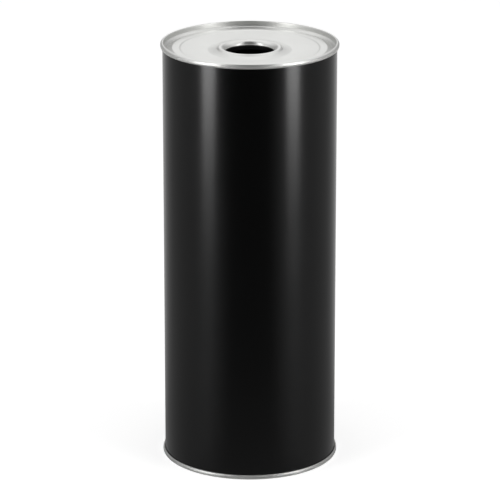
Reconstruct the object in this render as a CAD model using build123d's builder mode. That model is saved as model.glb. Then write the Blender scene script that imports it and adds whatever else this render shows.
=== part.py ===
"""Round one-litre oil tin: a rolled body, two seamed ends and the compound that seals them.

The tin stands on its bottom seam with +Z up, and the origin is the centre of the ring that it
stands on. All lengths are in millimetres. The sections of the sheet metal are drawn as a
radius and a depth. The depth runs from an end's own crest into the tin, so that the same
functions draw the double seam of the top end and of the bottom end.
"""

import os
from math import cos, radians, sin

from build123d import *

os.makedirs("parts", exist_ok=True)

# Tin
can_height = 208.0
body_radius = 41.87
body_sheet = 0.24
end_sheet = 0.28

# Double seam, which has the same section at both ends
seam_height = 2.4
seam_gap = 0.08
seam_headroom = 0.2
hook_clearance = 0.2

# Side seam of the body, at the back
weld_width = 1.2
weld_rise = 0.12
weld_end_gap = 0.8

# Top end: depths of its upper face below the crest, and widths inwards from the recess wall
ledge_depth = 2.3
groove_width = 2.4
groove_depth = 3.0
rise_width = 1.6
bead_depth = 2.6
bead_width = 4.0
step_width = 2.1
panel_depth = 3.8

# Raised lip of the hole and the neck below it, outwards from the bore
neck_bore_radius = 11.5
neck_bend = 2.7
neck_wall = 1.6
lip_width = 1.05
lip_rise = 1.33

# Bottom end: heights of its outer face above the standing ring, and the width of its groove
bottom_groove_depth = 3.6
bottom_groove_width = 1.4
bottom_panel_depth = 2.4

# Planes of the two sections: the first coordinate is the radius, the second the depth
top_section = Plane(origin=(0, 0, can_height), x_dir=(1, 0, 0), z_dir=(0, 1, 0))
bottom_section = Plane.XZ

# Middles of the layers in a seam, from the axis outwards
chuck_wall = body_radius - body_sheet - seam_gap - end_sheet / 2
body_wall = body_radius - body_sheet / 2
end_hook = body_radius + seam_gap + end_sheet / 2
body_hook = body_radius + 2 * seam_gap + end_sheet + body_sheet / 2
outer_wall = body_radius + 3 * seam_gap + end_sheet + body_sheet + end_sheet / 2

# Inner face of the chuck wall, which bounds the recess of each end
recess_radius = chuck_wall - end_sheet / 2

# Depths in a seam, from the crest
crest = end_sheet / 2
flange_top = end_sheet + seam_headroom
flange = flange_top + body_sheet / 2
end_hook_tip = flange_top + body_sheet + hook_clearance
body_hook_tip = seam_height - end_sheet - hook_clearance
fold = seam_height - end_sheet / 2


def seam_line():
    """Middle of an end's sheet in its seam: hook, fold, outer wall and crest."""
    return [
        (end_hook, end_hook_tip),
        (end_hook, fold),
        (outer_wall, fold),
        (outer_wall, crest),
        (chuck_wall, crest),
    ]


def make_body():
    """Rolled and welded body, with its edges turned out and down into a hook at each end."""
    with BuildPart() as can_body:
        with BuildSketch(Plane.XZ):
            with BuildLine():
                Polyline(
                    (body_hook, body_hook_tip),
                    (body_hook, flange),
                    (body_wall, flange),
                    (body_wall, can_height - flange),
                    (body_hook, can_height - flange),
                    (body_hook, can_height - body_hook_tip),
                )
            trace(line_width=body_sheet)
        revolve(axis=Axis.Z)

        # The lap of the side seam stands proud of the wall, from one double seam to the other
        weld_low = seam_height + weld_end_gap
        weld_depth = body_sheet / 2 + weld_rise
        with BuildSketch(Plane.XY.offset(weld_low)):
            with Locations((0, body_wall + weld_depth / 2)):
                Rectangle(weld_width, weld_depth)
        extrude(amount=can_height - 2 * weld_low)
    can_body.part.label = "can_body"
    export_step(can_body.part, "parts/can_body.step")


def make_top_end():
    """Top end: seam, groove, raised bead, panel and the neck that a pouring spout presses into."""
    middle = end_sheet / 2
    groove = recess_radius - groove_width
    bead_outer = groove - rise_width
    bead_inner = bead_outer - bead_width
    panel_edge = bead_inner - step_width
    neck = neck_bore_radius + middle
    lip_crest = neck_bore_radius + neck_bend
    lip_depth = panel_depth - lip_rise

    # The lip turns down into the neck over three flats, drawn from the middle of its bend
    bend_radius = neck_bend - middle
    bend_depth = lip_depth + neck_bend
    lip_bend = [
        (lip_crest - bend_radius * sin(radians(turn)), bend_depth - bend_radius * cos(radians(turn)))
        for turn in (0, 30, 60, 90)
    ]

    with BuildPart() as top_end:
        with BuildSketch(top_section):
            with BuildLine():
                Polyline(
                    *seam_line(),
                    (chuck_wall, ledge_depth + middle),
                    (groove, groove_depth + middle),
                    (bead_outer, bead_depth + middle),
                    (bead_inner, bead_depth + middle),
                    (panel_edge, panel_depth + middle),
                    (lip_crest + lip_width, panel_depth + middle),
                    *lip_bend,
                    (neck, bend_depth + neck_wall),
                )
            trace(line_width=end_sheet)
        revolve(axis=Axis.Z)
    top_end.part.label = "top_end"
    export_step(top_end.part, "parts/top_end.step")


def make_bottom_end():
    """Bottom end: the same seam, a groove and a closed panel."""
    middle = end_sheet / 2
    with BuildPart() as bottom_end:
        with BuildSketch(bottom_section):
            with BuildLine():
                Polyline(
                    *seam_line(),
                    (chuck_wall, bottom_groove_depth + middle),
                    (recess_radius - bottom_groove_width, bottom_panel_depth + middle),
                    (0, bottom_panel_depth + middle),
                )
            trace(line_width=end_sheet)
        revolve(axis=Axis.Z)
    bottom_end.part.label = "bottom_end"
    export_step(bottom_end.part, "parts/bottom_end.step")


def make_compound(name, section):
    """Ring of sealing compound that fills the headroom between the body's flange and the crest."""
    inner = chuck_wall + end_sheet / 2
    outer = outer_wall - end_sheet / 2
    with BuildPart() as compound:
        with BuildSketch(section):
            with Locations(((inner + outer) / 2, end_sheet + seam_headroom / 2)):
                Rectangle(outer - inner, seam_headroom)
        revolve(axis=Axis.Z)
    compound.part.label = name
    export_step(compound.part, f"parts/{name}.step")


make_body()
make_top_end()
make_bottom_end()
make_compound("top_seam_compound", top_section)
make_compound("bottom_seam_compound", bottom_section)
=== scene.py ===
"""Looks of the round oil tin: satin black body, bright tinplate ends, soft studio light.

Everything is in metres in the frame of the tin: +Z up, the origin under its middle. The body and
the ends are turned again here with the rolled radii that sheet metal has. Azimuths are counted in
degrees from the front of the tin towards +X.
"""

from math import atan2, cos, hypot, pi, radians, sin, tan

import bpy
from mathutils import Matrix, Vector


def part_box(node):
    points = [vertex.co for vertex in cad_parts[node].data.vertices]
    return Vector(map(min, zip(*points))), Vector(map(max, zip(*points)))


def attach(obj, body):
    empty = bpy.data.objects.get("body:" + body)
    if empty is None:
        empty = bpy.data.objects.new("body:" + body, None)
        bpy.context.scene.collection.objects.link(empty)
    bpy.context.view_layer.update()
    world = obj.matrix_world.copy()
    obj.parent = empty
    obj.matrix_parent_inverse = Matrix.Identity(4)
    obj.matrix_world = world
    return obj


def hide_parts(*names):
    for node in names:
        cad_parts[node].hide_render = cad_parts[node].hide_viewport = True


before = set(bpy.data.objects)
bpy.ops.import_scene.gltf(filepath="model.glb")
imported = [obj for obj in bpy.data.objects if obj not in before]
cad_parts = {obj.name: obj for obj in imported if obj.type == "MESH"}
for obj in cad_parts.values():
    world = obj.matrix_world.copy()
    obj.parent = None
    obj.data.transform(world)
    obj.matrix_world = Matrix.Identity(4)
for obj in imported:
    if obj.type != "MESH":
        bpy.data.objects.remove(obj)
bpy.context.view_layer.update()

MM = 0.001

# Sizes taken from the frame
can_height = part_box("top_end")[1].z
seam_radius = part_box("top_end")[1].x

# Sheet metal and its double seams, with depths from the crest
body_sheet = 0.24 * MM
end_sheet = 0.28 * MM
seam_gap = 0.08 * MM
seam_height = 2.4 * MM
flange_depth = 0.72 * MM
hook_tip = 0.92 * MM
hook_clearance = 0.2 * MM
shoulder_depth = 1.05 * MM
inner_crest_bend = 0.38 * MM
outer_crest_bend = 0.86 * MM

# Lean of a seam's outer wall from its shoulder to its fold, and the steps of that curve
top_wall_taper = 0.4 * MM
bottom_wall_taper = 0.2 * MM
wall_steps = 6

# Share of the widest bend that fits between two layers of one sheet
end_bend_share = 0.99
body_bend_share = 0.999

# Middles of the layers in a seam, from the outside towards the axis
hook_pitch = 2 * seam_gap + end_sheet + body_sheet
outer_wall = seam_radius - end_sheet / 2
body_hook = outer_wall - seam_gap - (end_sheet + body_sheet) / 2
end_hook = outer_wall - hook_pitch
body_wall = body_hook - hook_pitch
chuck_wall = end_hook - hook_pitch
recess_radius = chuck_wall - end_sheet / 2

# Lip of the hole and the neck below it
neck_bore_radius = 11.5 * MM
neck_bend = 2.7 * MM
neck_wall = 1.6 * MM
lip_crest = neck_bore_radius + neck_bend
lip_depth = 2.47 * MM

# Upper face of the top end, from the wall inwards: radius, depth below the crest, bend radius
wall_foot = (chuck_wall, 2.2 * MM, 0.3 * MM)
ledge_end = (40.25 * MM, 2.82 * MM, 0.25 * MM)
groove_floor = (39.75 * MM, 3.38 * MM, 0.4 * MM)
bead_edge = (37.14 * MM, 2.54 * MM, 0.2 * MM)
bead_end = (33.9 * MM, 2.62 * MM, 0.6 * MM)
step_foot = (33.1 * MM, 2.86 * MM, 0.8 * MM)
panel_end = (20.2 * MM, 3.82 * MM, 3.0 * MM)
lip_foot = (15.8 * MM, 3.12 * MM, 0.8 * MM)
lip_edge = (lip_crest + 0.8 * MM, lip_depth, 1.2 * MM)
top_face = [wall_foot, ledge_end, groove_floor, bead_edge, bead_end]
top_face += [step_foot, panel_end, lip_foot, lip_edge]

# Bottom end
bottom_groove_depth = 3.6 * MM
bottom_groove_width = 1.4 * MM
bottom_panel_depth = 2.4 * MM
bottom_bend = 0.5 * MM

# Side seam of the body, at the back
weld_width = 1.2 * MM
weld_rise = 0.12 * MM
weld_end_gap = 0.8 * MM

# Bead of compound in a seam, with its distance from the chuck wall and its depths
compound_gap = 0.11 * MM
compound_width = 0.4 * MM
compound_top = 0.42 * MM
compound_foot = 0.58 * MM

# Radii and heights over which one finish of the tinplate passes into the next, and over which the
# painted shade of the neck and of the bottom end begins
rolled_radii = (seam_radius - 0.8 * MM, seam_radius - 0.6 * MM)
top_shoulder = (can_height - 1.2 * MM, can_height - 0.8 * MM)
bottom_shoulder = (0.3 * MM, 0.7 * MM)
neck_shade_top = (can_height - 4.6 * MM, can_height - 4.4 * MM)
bottom_end_limit = 10 * MM

# Fineness of the turned meshes, and the angle from which an edge stays sharp
turn_steps = 288
arc_step = radians(10)
least_turn = radians(1)
sharp_angle = radians(35)
mitre_limit = 0.5
axis_radius = 1e-6 * MM

# Floor and surroundings
floor_reach = 6.0
floor_tone = 0.85
floor_glow = 0.55
world_light = 0.5

# Two soft lamps
lamp_distance = 0.9
lamp_width = 0.5
lamp_height = 0.9
lamp_foot = 0.1
lamp_radiance = 2.0

# Grids for the reflections
screen_azimuths = sorted([*range(-180, 181, 5), -176, -171, 171, 176])
floor_radii = [0.0430, 0.048, 0.06, 0.09, 0.14, 0.2, 0.3, 0.45, 0.7, 1.1, 1.8, 3.0, 5.0]
dome_elevations = [-1, 4, 8, 13, 18, 26, 34, 45, 60, 72, 79, 85, 90]
floor_screen_height = 0.3 * MM
dome_radius = 4.0

# Mirrored floor: greys by radius in front, greys by radius elsewhere, and their share by azimuth
dark_floor_edge = 26
front_floor = [(0, 0.36), (0.06, 0.23), (0.155, 0.16), (0.25, 0.10), (0.6, 0.03), (9, 0.02)]
side_floor = [(0, 0.8), (0.05, 0.85), (0.2, 0.97), (0.4, 1), (9, 1)]
floor_shares = [(52, 0.42), (80, 0.39), (120, 0.34), (140, 0.46), (160, 0.75), (180, 0.85)]

# Mirrored walls: greys by azimuth, and a factor by elevation for the part in front
wall_greys = [(0, 0.43), (16, 0.5), (30, 0.7), (44, 0.95), (57, 1.0), (70, 0.95), (85, 0.8)]
wall_greys += [(100, 0.5), (115, 0.4), (150, 0.38), (165, 0.36), (171, 0.38), (176, 0.98)]
wall_greys += [(180, 1.02)]
front_wall_edge = 30
front_wall = [(0, 0.1), (8, 0.14), (13, 0.8), (18, 1.0), (26, 1.0), (34, 0.5), (90, 0.2)]

# Mirrored ceiling: greys by the cosine of the azimuth, and how it joins the walls and the zenith
ceiling_greys = [(-1, 1.1), (-0.3, 1.0), (0.3, 0.65), (0.7, 0.15), (0.9, 0.06), (1, 0.05)]
ceiling_edge = 45
wall_to_ceiling = [(0, 0), (20, 0), (ceiling_edge, 1), (90, 1)]
ceiling_to_zenith = [(ceiling_edge, 0), (79, 0), (85, 0.7), (90, 1)]
zenith_grey = 0.2

# Mirrored strips: greys by height
strip_distance = 0.60
strip_width = 0.19
strip_greys = [(0.002, 12.3), (0.10, 12.3), (0.17, 2.4), (1.6, 2.4)]


def rounded_path(corners):
    """Points of a path through (radius, height, bend radius), with an arc at each inner corner."""
    path = [corners[0][:2]]
    for before, corner, after in zip(corners, corners[1:], corners[2:]):
        x, y, bend = corner
        ax, ay = before[0] - x, before[1] - y
        bx, by = after[0] - x, after[1] - y
        a_length, b_length = hypot(ax, ay), hypot(bx, by)
        ax, ay, bx, by = ax / a_length, ay / a_length, bx / b_length, by / b_length
        turn = pi - atan2(abs(ax * by - ay * bx), ax * bx + ay * by)
        if bend == 0 or turn < least_turn:
            path.append((x, y))
            continue
        reach = bend * tan(turn / 2)
        start = (x + ax * reach, y + ay * reach)
        side = 1 if ax * by - ay * bx > 0 else -1
        centre = (start[0] - side * ay * bend, start[1] + side * ax * bend)
        first = atan2(start[1] - centre[1], start[0] - centre[0])
        steps = max(2, round(turn / arc_step))
        for step in range(steps + 1):
            angle = first - side * turn * step / steps
            path.append((centre[0] + bend * cos(angle), centre[1] + bend * sin(angle)))
    path.append(corners[-1][:2])
    return path


def sheet_outline(path, thickness):
    """Closed outline of a sheet whose middle follows the path, cut square at both ends."""
    left, right = [], []
    for i, (x, y) in enumerate(path):
        before, after = path[max(i - 1, 0)], path[min(i + 1, len(path) - 1)]
        d1 = Vector((x - before[0], y - before[1]))
        d2 = Vector((after[0] - x, after[1] - y))
        d1 = d1.normalized() if d1.length else d2.normalized()
        d2 = d2.normalized() if d2.length else d1
        mean = (d1 + d2).normalized()
        half = thickness / 2 / max(mean.dot(d1), mitre_limit)
        left.append((x - mean.y * half, y + mean.x * half))
        right.append((x + mean.y * half, y - mean.x * half))
    return left + right[::-1]


def new_object(name, vertices, faces):
    """Object with a mesh of the given points and faces, in the scene."""
    mesh = bpy.data.meshes.new(name)
    mesh.from_pydata(vertices, [], faces)
    made = bpy.data.objects.new(name, mesh)
    bpy.context.scene.collection.objects.link(made)
    return made


def turned(name, outline):
    """Solid turned round Z from a closed outline of (radius, height)."""
    vertices, rings = [], []
    for radius, height in outline:
        if radius <= axis_radius:
            rings.append([len(vertices)] * turn_steps)
            vertices.append((0, 0, height))
            continue
        rings.append(range(len(vertices), len(vertices) + turn_steps))
        for step in range(turn_steps):
            angle = 2 * pi * step / turn_steps
            vertices.append((radius * cos(angle), radius * sin(angle), height))
    faces = []
    for low, high in zip(rings, rings[1:] + rings[:1]):
        for step in range(turn_steps):
            following = (step + 1) % turn_steps
            face = [low[step], low[following], high[following], high[step]]
            face = list(dict.fromkeys(face))
            if len(face) > 2:
                faces.append(face)
    piece = new_object(name, vertices, faces)
    piece.data.validate()
    piece.data.update()
    bpy.context.view_layer.objects.active = piece
    piece.select_set(True)
    bpy.ops.object.mode_set(mode="EDIT")
    bpy.ops.mesh.select_all(action="SELECT")
    bpy.ops.mesh.normals_make_consistent(inside=False)
    bpy.ops.object.mode_set(mode="OBJECT")
    piece.select_set(False)
    piece.data.shade_smooth()
    piece.data.set_sharp_from_angle(angle=sharp_angle)
    return piece


def finish_piece(piece, node, material):
    """Puts a piece in the place of a solid and gives it its material."""
    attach(piece, "root")
    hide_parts(node)
    piece.data.materials.append(material)


class Nodes:
    """Adds shader nodes to a material or the world, and passes their outputs on."""

    def __init__(self, owner):
        owner.use_nodes = True
        self.tree = owner.node_tree
        self.tree.nodes.clear()

    def add(self, kind, inputs, **settings):
        """New node, whose inputs are plain values or the outputs of other nodes."""
        node = self.tree.nodes.new(kind)
        for name, value in settings.items():
            setattr(node, name, value)
        for into, value in inputs.items():
            if isinstance(value, bpy.types.NodeSocket):
                self.tree.links.new(value, node.inputs[into])
            else:
                node.inputs[into].default_value = value
        return node

    def place(self):
        return self.add("ShaderNodeTexCoord", {}).outputs["Object"]

    def noise(self, place, scale, detail):
        inputs = {"Vector": place, "Scale": scale, "Detail": detail}
        return self.add("ShaderNodeTexNoise", inputs).outputs["Fac"]

    def streaks(self, place, scales):
        """Noise drawn out into lines by a different scale along each axis."""
        drawn = self.add("ShaderNodeMapping", {"Vector": place, "Scale": scales})
        return self.noise(drawn.outputs["Vector"], scale=1.0, detail=3.0)

    def spread(self, value, low, high, span=(0.0, 1.0)):
        """Value carried from its span to the range from low to high, and held at the ends."""
        inputs = {"Value": value, "From Min": span[0], "From Max": span[1]}
        inputs.update({"To Min": low, "To Max": high})
        return self.add("ShaderNodeMapRange", inputs).outputs["Result"]

    def calculate(self, operation, first, second):
        inputs = {0: first, 1: second}
        return self.add("ShaderNodeMath", inputs, operation=operation).outputs[0]

    # A mix node takes its two values at inputs 2 and 3, and its two colours at 6 and 7
    def mix(self, share, first, second):
        """Value between two values, the first where the share is nought."""
        inputs = {0: share, 2: first, 3: second}
        return self.add("ShaderNodeMix", inputs, data_type="FLOAT").outputs[0]

    def mix_colours(self, share, first, second, way="MIX"):
        """Colour between two colours, the first where the share is nought."""
        inputs = {0: share, 6: first, 7: second}
        node = self.add("ShaderNodeMix", inputs, data_type="RGBA", blend_type=way)
        return node.outputs[2]

    def relief(self, height, strength, distance):
        inputs = {"Height": height, "Strength": strength, "Distance": distance}
        return self.add("ShaderNodeBump", inputs).outputs["Normal"]

    def surface(self, inputs):
        shader = self.add("ShaderNodeBsdfPrincipled", inputs)
        self.add("ShaderNodeOutputMaterial", {"Surface": shader.outputs["BSDF"]})

    def seen(self):
        """One for rays to the camera and through mirrors or glass, and nought for light."""
        path = self.add("ShaderNodeLightPath", {}).outputs
        direct = self.calculate("MAXIMUM", path["Is Camera Ray"], path["Is Glossy Ray"])
        return self.calculate("MAXIMUM", direct, path["Is Transmission Ray"])


def make_lacquer():
    """Satin black lacquer over rolled steel."""
    material = bpy.data.materials.new("black_lacquer")
    n = Nodes(material)
    place = n.place()
    cloud = n.noise(place, scale=45.0, detail=4.0)
    peel = n.noise(place, scale=1400.0, detail=2.0)
    deep_black = (0.0006, 0.0007, 0.0007, 1)
    black = (0.0010, 0.0011, 0.0011, 1)
    inputs = {"Base Color": n.mix_colours(cloud, deep_black, black), "IOR": 1.4}
    inputs["Roughness"] = n.spread(cloud, low=0.19, high=0.23)
    inputs["Normal"] = n.relief(peel, strength=0.12, distance=0.05 * MM)
    n.surface(inputs)
    return material


def make_tinplate():
    """Bright tinned steel, scuffed where the seaming rolls ran."""
    material = bpy.data.materials.new("tinplate")
    n = Nodes(material)
    place = n.place()
    height = n.add("ShaderNodeSeparateXYZ", {"Vector": place}).outputs["Z"]
    flat = n.add("ShaderNodeVectorMath", {0: place, 1: (1, 1, 0)}, operation="MULTIPLY")
    length = n.add("ShaderNodeVectorMath", {0: flat.outputs[0]}, operation="LENGTH")

    # Straight lines of the rolling mill, and lines round the outer half of each seam
    mill_lines = n.streaks(place, scales=(120.0, 3000.0, 3000.0))
    ring_lines = n.streaks(place, scales=(90.0, 90.0, 6000.0))
    rolled = n.spread(length.outputs["Value"], low=0.0, high=1.0, span=rolled_radii)
    marks = n.mix(rolled, mill_lines, ring_lines)

    # Scuffed part: the outer wall of each seam, past its shoulder
    below_top = n.spread(height, low=1.0, high=0.0, span=top_shoulder)
    above_bottom = n.spread(height, low=0.0, high=1.0, span=bottom_shoulder)
    wall = n.calculate("MULTIPLY", rolled, below_top)
    scuffed = n.calculate("MULTIPLY", wall, above_bottom)

    # Colour: painted shade darkens the bottom end, and painted shade makes the neck below the lip
    # black
    grey = (0.67, 0.675, 0.655, 1)
    bright = (0.81, 0.81, 0.795, 1)
    bottom_shade = (0.68, 0.68, 0.68, 1)
    black = (0.004, 0.004, 0.004, 1)
    marks_share = 0.6
    on_top = n.calculate("GREATER_THAN", height, bottom_end_limit)
    on_bottom = n.calculate("SUBTRACT", 1.0, on_top)
    in_neck = n.spread(height, low=1.0, high=0.0, span=neck_shade_top)
    neck_shade_mask = n.calculate("MULTIPLY", on_top, in_neck)
    tone = n.mix(marks_share, n.noise(place, scale=60.0, detail=3.0), marks)
    colour = n.mix_colours(tone, grey, bright)
    # Painted shade: the whole bottom end is darkened, for the dim floor near the base
    colour = n.mix_colours(on_bottom, colour, bottom_shade, way="MULTIPLY")
    # Painted shade: below the lip the neck is painted black, for the dark inside of the tin
    colour = n.mix_colours(neck_shade_mask, colour, black)

    # Gloss and relief
    smooth = n.spread(mill_lines, low=0.25, high=0.36)
    worn = n.spread(ring_lines, low=0.44, high=0.54)
    # The painted shade in the neck also turns that part from metal to plain black
    inputs = {"Base Color": colour, "Metallic": n.calculate("SUBTRACT", 1.0, neck_shade_mask)}
    inputs["Roughness"] = n.mix(scuffed, smooth, worn)
    inputs["Normal"] = n.relief(marks, strength=0.2, distance=0.02 * MM)
    n.surface(inputs)
    return material


def make_compound():
    """Matt rubbery sealing compound."""
    material = bpy.data.materials.new("seam_compound")
    n = Nodes(material)
    cloud = n.noise(n.place(), scale=300.0, detail=3.0)
    darker = (0.40, 0.38, 0.35, 1)
    lighter = (0.48, 0.46, 0.43, 1)
    n.surface({"Base Color": n.mix_colours(cloud, darker, lighter), "Roughness": 0.7})
    return material


def seam_corners(to_height, taper):
    """Corners of an end's sheet in its seam, from the tip of the hook to the crest."""
    fold = seam_height - end_sheet / 2
    crest = end_sheet / 2
    hairpin = (hook_pitch - taper) / 2 * end_bend_share
    corners = [(end_hook, hook_tip, 0), (end_hook, fold, hairpin)]
    corners.append((outer_wall - taper, fold, hairpin))
    for step in range(1, wall_steps - 1):
        across = 1 - step / wall_steps
        depth = shoulder_depth + across * (fold - shoulder_depth)
        corners.append((outer_wall - taper * across ** 2, depth, 0))
    corners.append((outer_wall, crest, outer_crest_bend))
    corners.append((chuck_wall, crest, inner_crest_bend))
    return [(radius, to_height(depth), bend) for radius, depth, bend in corners]


def top_height(depth):
    """Height of a depth below the crest of the top seam."""
    return can_height - depth


def bottom_height(depth):
    """Height of a depth above the crest of the bottom seam, on which the tin stands."""
    return depth


def make_top_end(material):
    """Top end: seam, groove, bead, shallow panel and the neck for a pouring spout."""
    middle = end_sheet / 2
    neck = neck_bore_radius + middle
    form = [(radius, depth + middle, bend) for radius, depth, bend in top_face]
    form.append((neck, lip_depth + middle, neck_bend - middle))
    form.append((neck, lip_depth + neck_bend + neck_wall, 0))
    corners = seam_corners(top_height, top_wall_taper)
    corners += [(radius, top_height(depth), bend) for radius, depth, bend in form]
    outline = sheet_outline(rounded_path(corners), end_sheet)
    finish_piece(turned("top_end_sheet", outline), "top_end", material)


def make_bottom_end(material):
    """Bottom end: seam, groove and a closed flat panel."""
    middle = end_sheet / 2
    corners = seam_corners(bottom_height, bottom_wall_taper)
    corners += [
        (chuck_wall, bottom_groove_depth + middle, bottom_bend),
        (recess_radius - bottom_groove_width, bottom_panel_depth + middle, bottom_bend),
        (0, bottom_panel_depth + middle, 0),
    ]
    outline = sheet_outline(rounded_path(corners), end_sheet)
    outline = [(max(radius, 0), height) for radius, height in outline]
    finish_piece(turned("bottom_end_sheet", outline), "bottom_end", material)


def make_body(material):
    """Tube of the body, with its edges turned out and down into a hook at each end."""
    tip = seam_height - end_sheet - hook_clearance
    bend = hook_pitch / 2 * body_bend_share
    corners = [
        (body_hook, tip, 0),
        (body_hook, flange_depth, bend),
        (body_wall, flange_depth, bend),
        (body_wall, can_height - flange_depth, bend),
        (body_hook, can_height - flange_depth, bend),
        (body_hook, can_height - tip, 0),
    ]
    outline = sheet_outline(rounded_path(corners), body_sheet)
    finish_piece(turned("body_shell", outline), "can_body", material)


def make_compound_ring(name, node, to_height, material):
    """Bead of compound squeezed between the flange of the body and the crest."""
    inner = chuck_wall + end_sheet / 2 + compound_gap
    outer = inner + compound_width
    top, foot = to_height(compound_top), to_height(compound_foot)
    outline = [(inner, top), (outer, top), (outer, foot), (inner, foot)]
    finish_piece(turned(name, outline), node, material)


def make_side_seam(material):
    """Lap of the side seam, which stands proud of the wall at the back."""
    low = seam_height + weld_end_gap
    high = can_height - low
    half = weld_width / 2
    proud = body_sheet / 2 + weld_rise
    edge = weld_rise / 2
    section = [(-half, 0), (-half, proud - edge), (edge - half, proud)]
    section += [(half - edge, proud), (half, proud - edge), (half, 0)]
    count = len(section)
    vertices = [(x, body_wall + y, height) for height in (low, high) for x, y in section]
    faces = [(i, (i + 1) % count, (i + 1) % count + count, i + count) for i in range(count)]
    faces.append(tuple(range(count))[::-1])
    faces.append(tuple(range(count, 2 * count)))
    piece = new_object("side_seam", vertices, faces)
    finish_piece(piece, "can_body", material)


def make_floor():
    """Pale floor that shows white to the camera and keeps the soft shadow of the tin."""
    corners = [(-1, -1), (1, -1), (1, 1), (-1, 1)]
    vertices = [(x * floor_reach, y * floor_reach, 0) for x, y in corners]
    floor = new_object("floor", vertices, [(0, 1, 2, 3)])
    material = bpy.data.materials.new("floor")
    n = Nodes(material)
    diffuse = n.add("ShaderNodeBsdfDiffuse", {"Color": (floor_tone, floor_tone, floor_tone, 1)})
    glow = n.calculate("MULTIPLY", n.seen(), floor_glow)
    emission = n.add("ShaderNodeEmission", {"Color": (1, 1, 1, 1), "Strength": glow})
    both = n.add("ShaderNodeAddShader", {0: diffuse.outputs[0], 1: emission.outputs[0]})
    n.add("ShaderNodeOutputMaterial", {"Surface": both.outputs[0]})
    floor.data.materials.append(material)


def make_world():
    """White surroundings for what is seen, softer for what they light."""
    world = bpy.data.worlds.new("studio")
    bpy.context.scene.world = world
    n = Nodes(world)
    level = n.spread(n.seen(), low=world_light, high=1.0)
    background = n.add("ShaderNodeBackground", {"Color": (1, 1, 1, 1), "Strength": level})
    n.add("ShaderNodeOutputWorld", {"Surface": background.outputs[0]})


def around(azimuth, distance, height):
    """Point at an azimuth and a distance from the axis of the tin."""
    angle = radians(azimuth)
    return Vector((distance * sin(angle), -distance * cos(angle), height))


def between(x, points):
    """Value at x on the straight runs through the points."""
    for (x0, y0), (x1, y1) in zip(points, points[1:]):
        if x <= x1:
            return y0 + (y1 - y0) * (x - x0) / (x1 - x0)
    return points[-1][1]


def make_lamp(name, azimuth):
    """Tall soft lamp that faces the tin."""
    lamp = bpy.data.lights.new(name, "AREA")
    lamp.shape = "RECTANGLE"
    lamp.size = lamp_width
    lamp.size_y = lamp_height
    lamp.energy = lamp_radiance * pi * lamp_width * lamp_height
    holder = bpy.data.objects.new(name, lamp)
    bpy.context.scene.collection.objects.link(holder)
    holder.location = around(azimuth, lamp_distance, lamp_foot + lamp_height / 2)
    facing = around(azimuth, -lamp_distance, 0)
    holder.rotation_euler = facing.to_track_quat("-Z", "Y").to_euler()
    holder.visible_camera = False
    holder.visible_glossy = False


def make_screen(name, rows, columns, place, level):
    """Grid that only reflections see, as dark flags and lit screens are in a studio."""
    vertices, greys, faces = [], [], []
    for row in rows:
        for column in columns:
            vertices.append(place(row, column))
            greys.append(level(row, column))
    wide = len(columns)
    for i in range(len(rows) - 1):
        for j in range(wide - 1):
            first = i * wide + j
            faces.append((first, first + 1, first + wide + 1, first + wide))
    screen = new_object(name, vertices, faces)
    grey = screen.data.attributes.new("grey", "FLOAT", "POINT")
    grey.data.foreach_set("value", greys)
    material = bpy.data.materials.new(name)
    n = Nodes(material)
    stored = n.add("ShaderNodeAttribute", {}, attribute_name="grey").outputs["Fac"]
    emission = n.add("ShaderNodeEmission", {"Color": (1, 1, 1, 1), "Strength": stored})
    n.add("ShaderNodeOutputMaterial", {"Surface": emission.outputs["Emission"]})
    screen.data.materials.append(material)
    screen.visible_camera = False
    screen.visible_diffuse = False
    screen.visible_shadow = False
    screen.visible_transmission = False


def on_floor(radius, azimuth):
    return around(azimuth, radius, floor_screen_height)


def floor_level(radius, azimuth):
    """What the floor shows in the tin: dark in front, where the room is dark, pale behind."""
    front = between(radius, front_floor)
    side = between(radius, side_floor)
    stops = [(0, front), (dark_floor_edge, front)]
    stops += [(stop, share * side) for stop, share in floor_shares]
    return between(abs(azimuth), stops)


def on_dome(elevation, azimuth):
    lift = radians(elevation)
    return around(azimuth, dome_radius * cos(lift), dome_radius * sin(lift))


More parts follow.
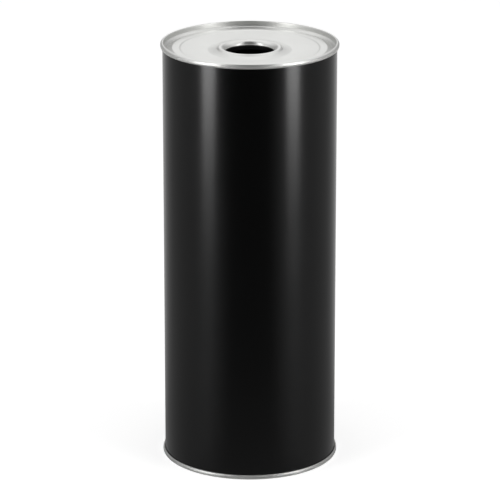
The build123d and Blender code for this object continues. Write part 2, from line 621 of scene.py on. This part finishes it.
def dome_level(elevation, azimuth):
    """Dark room in front of the tin, pale sides and a white wall behind it."""
    wall = between(abs(azimuth), wall_greys)
    if abs(azimuth) < front_wall_edge:
        wall *= between(elevation, front_wall)
    ceiling = between(cos(radians(azimuth)), ceiling_greys)
    if elevation < ceiling_edge:
        return wall + (ceiling - wall) * between(elevation, wall_to_ceiling)
    return ceiling + (zenith_grey - ceiling) * between(elevation, ceiling_to_zenith)


def make_strip(name, azimuth, gain):
    """Upright lit strip, brightest near the table."""
    angle = radians(azimuth)
    half = strip_width / 2 * Vector((cos(angle), sin(angle), 0))

    def place(height, side):
        return around(azimuth, strip_distance, height) + side * half

    def level(height, side):
        return gain * between(height, strip_greys)

    make_screen(name, [height for height, _ in strip_greys], [-1, 1], place, level)


def make_camera():
    """Long lens from the front, a little above the tin, its pitch in radians."""
    pitch = 0.312548
    distance = 1641.587 * MM
    aim_height = 103.216 * MM
    aside = 0.088 * MM
    raise_by = 0.244 * MM
    camera = bpy.data.cameras.new("camera")
    camera.sensor_width = 36.0
    camera.lens = 242.5
    camera.clip_start = 0.05
    camera.clip_end = 50
    holder = bpy.data.objects.new("camera", camera)
    bpy.context.scene.collection.objects.link(holder)
    holder.location = (
        aside,
        -distance * cos(pitch) + raise_by * sin(pitch),
        aim_height + distance * sin(pitch) + raise_by * cos(pitch),
    )
    holder.rotation_euler = (pi / 2 - pitch, 0, 0)
    bpy.context.scene.camera = holder


lacquer = make_lacquer()
tinplate = make_tinplate()
compound = make_compound()
make_body(lacquer)
make_side_seam(lacquer)
make_top_end(tinplate)
make_bottom_end(tinplate)
make_compound_ring("top_compound_ring", "top_seam_compound", top_height, compound)
make_compound_ring("bottom_compound_ring", "bottom_seam_compound", bottom_height, compound)

make_floor()
make_world()
make_lamp("left_lamp", azimuth=-56)
make_lamp("right_lamp", azimuth=58)
make_screen("floor_screen", floor_radii, screen_azimuths, on_floor, floor_level)
make_screen("dome_screen", dome_elevations, screen_azimuths, on_dome, dome_level)
make_strip("left_strip", azimuth=-54, gain=1.0)
make_strip("right_strip", azimuth=57.2, gain=0.93)
make_camera()
bpy.context.scene.view_settings.view_transform = "Standard"
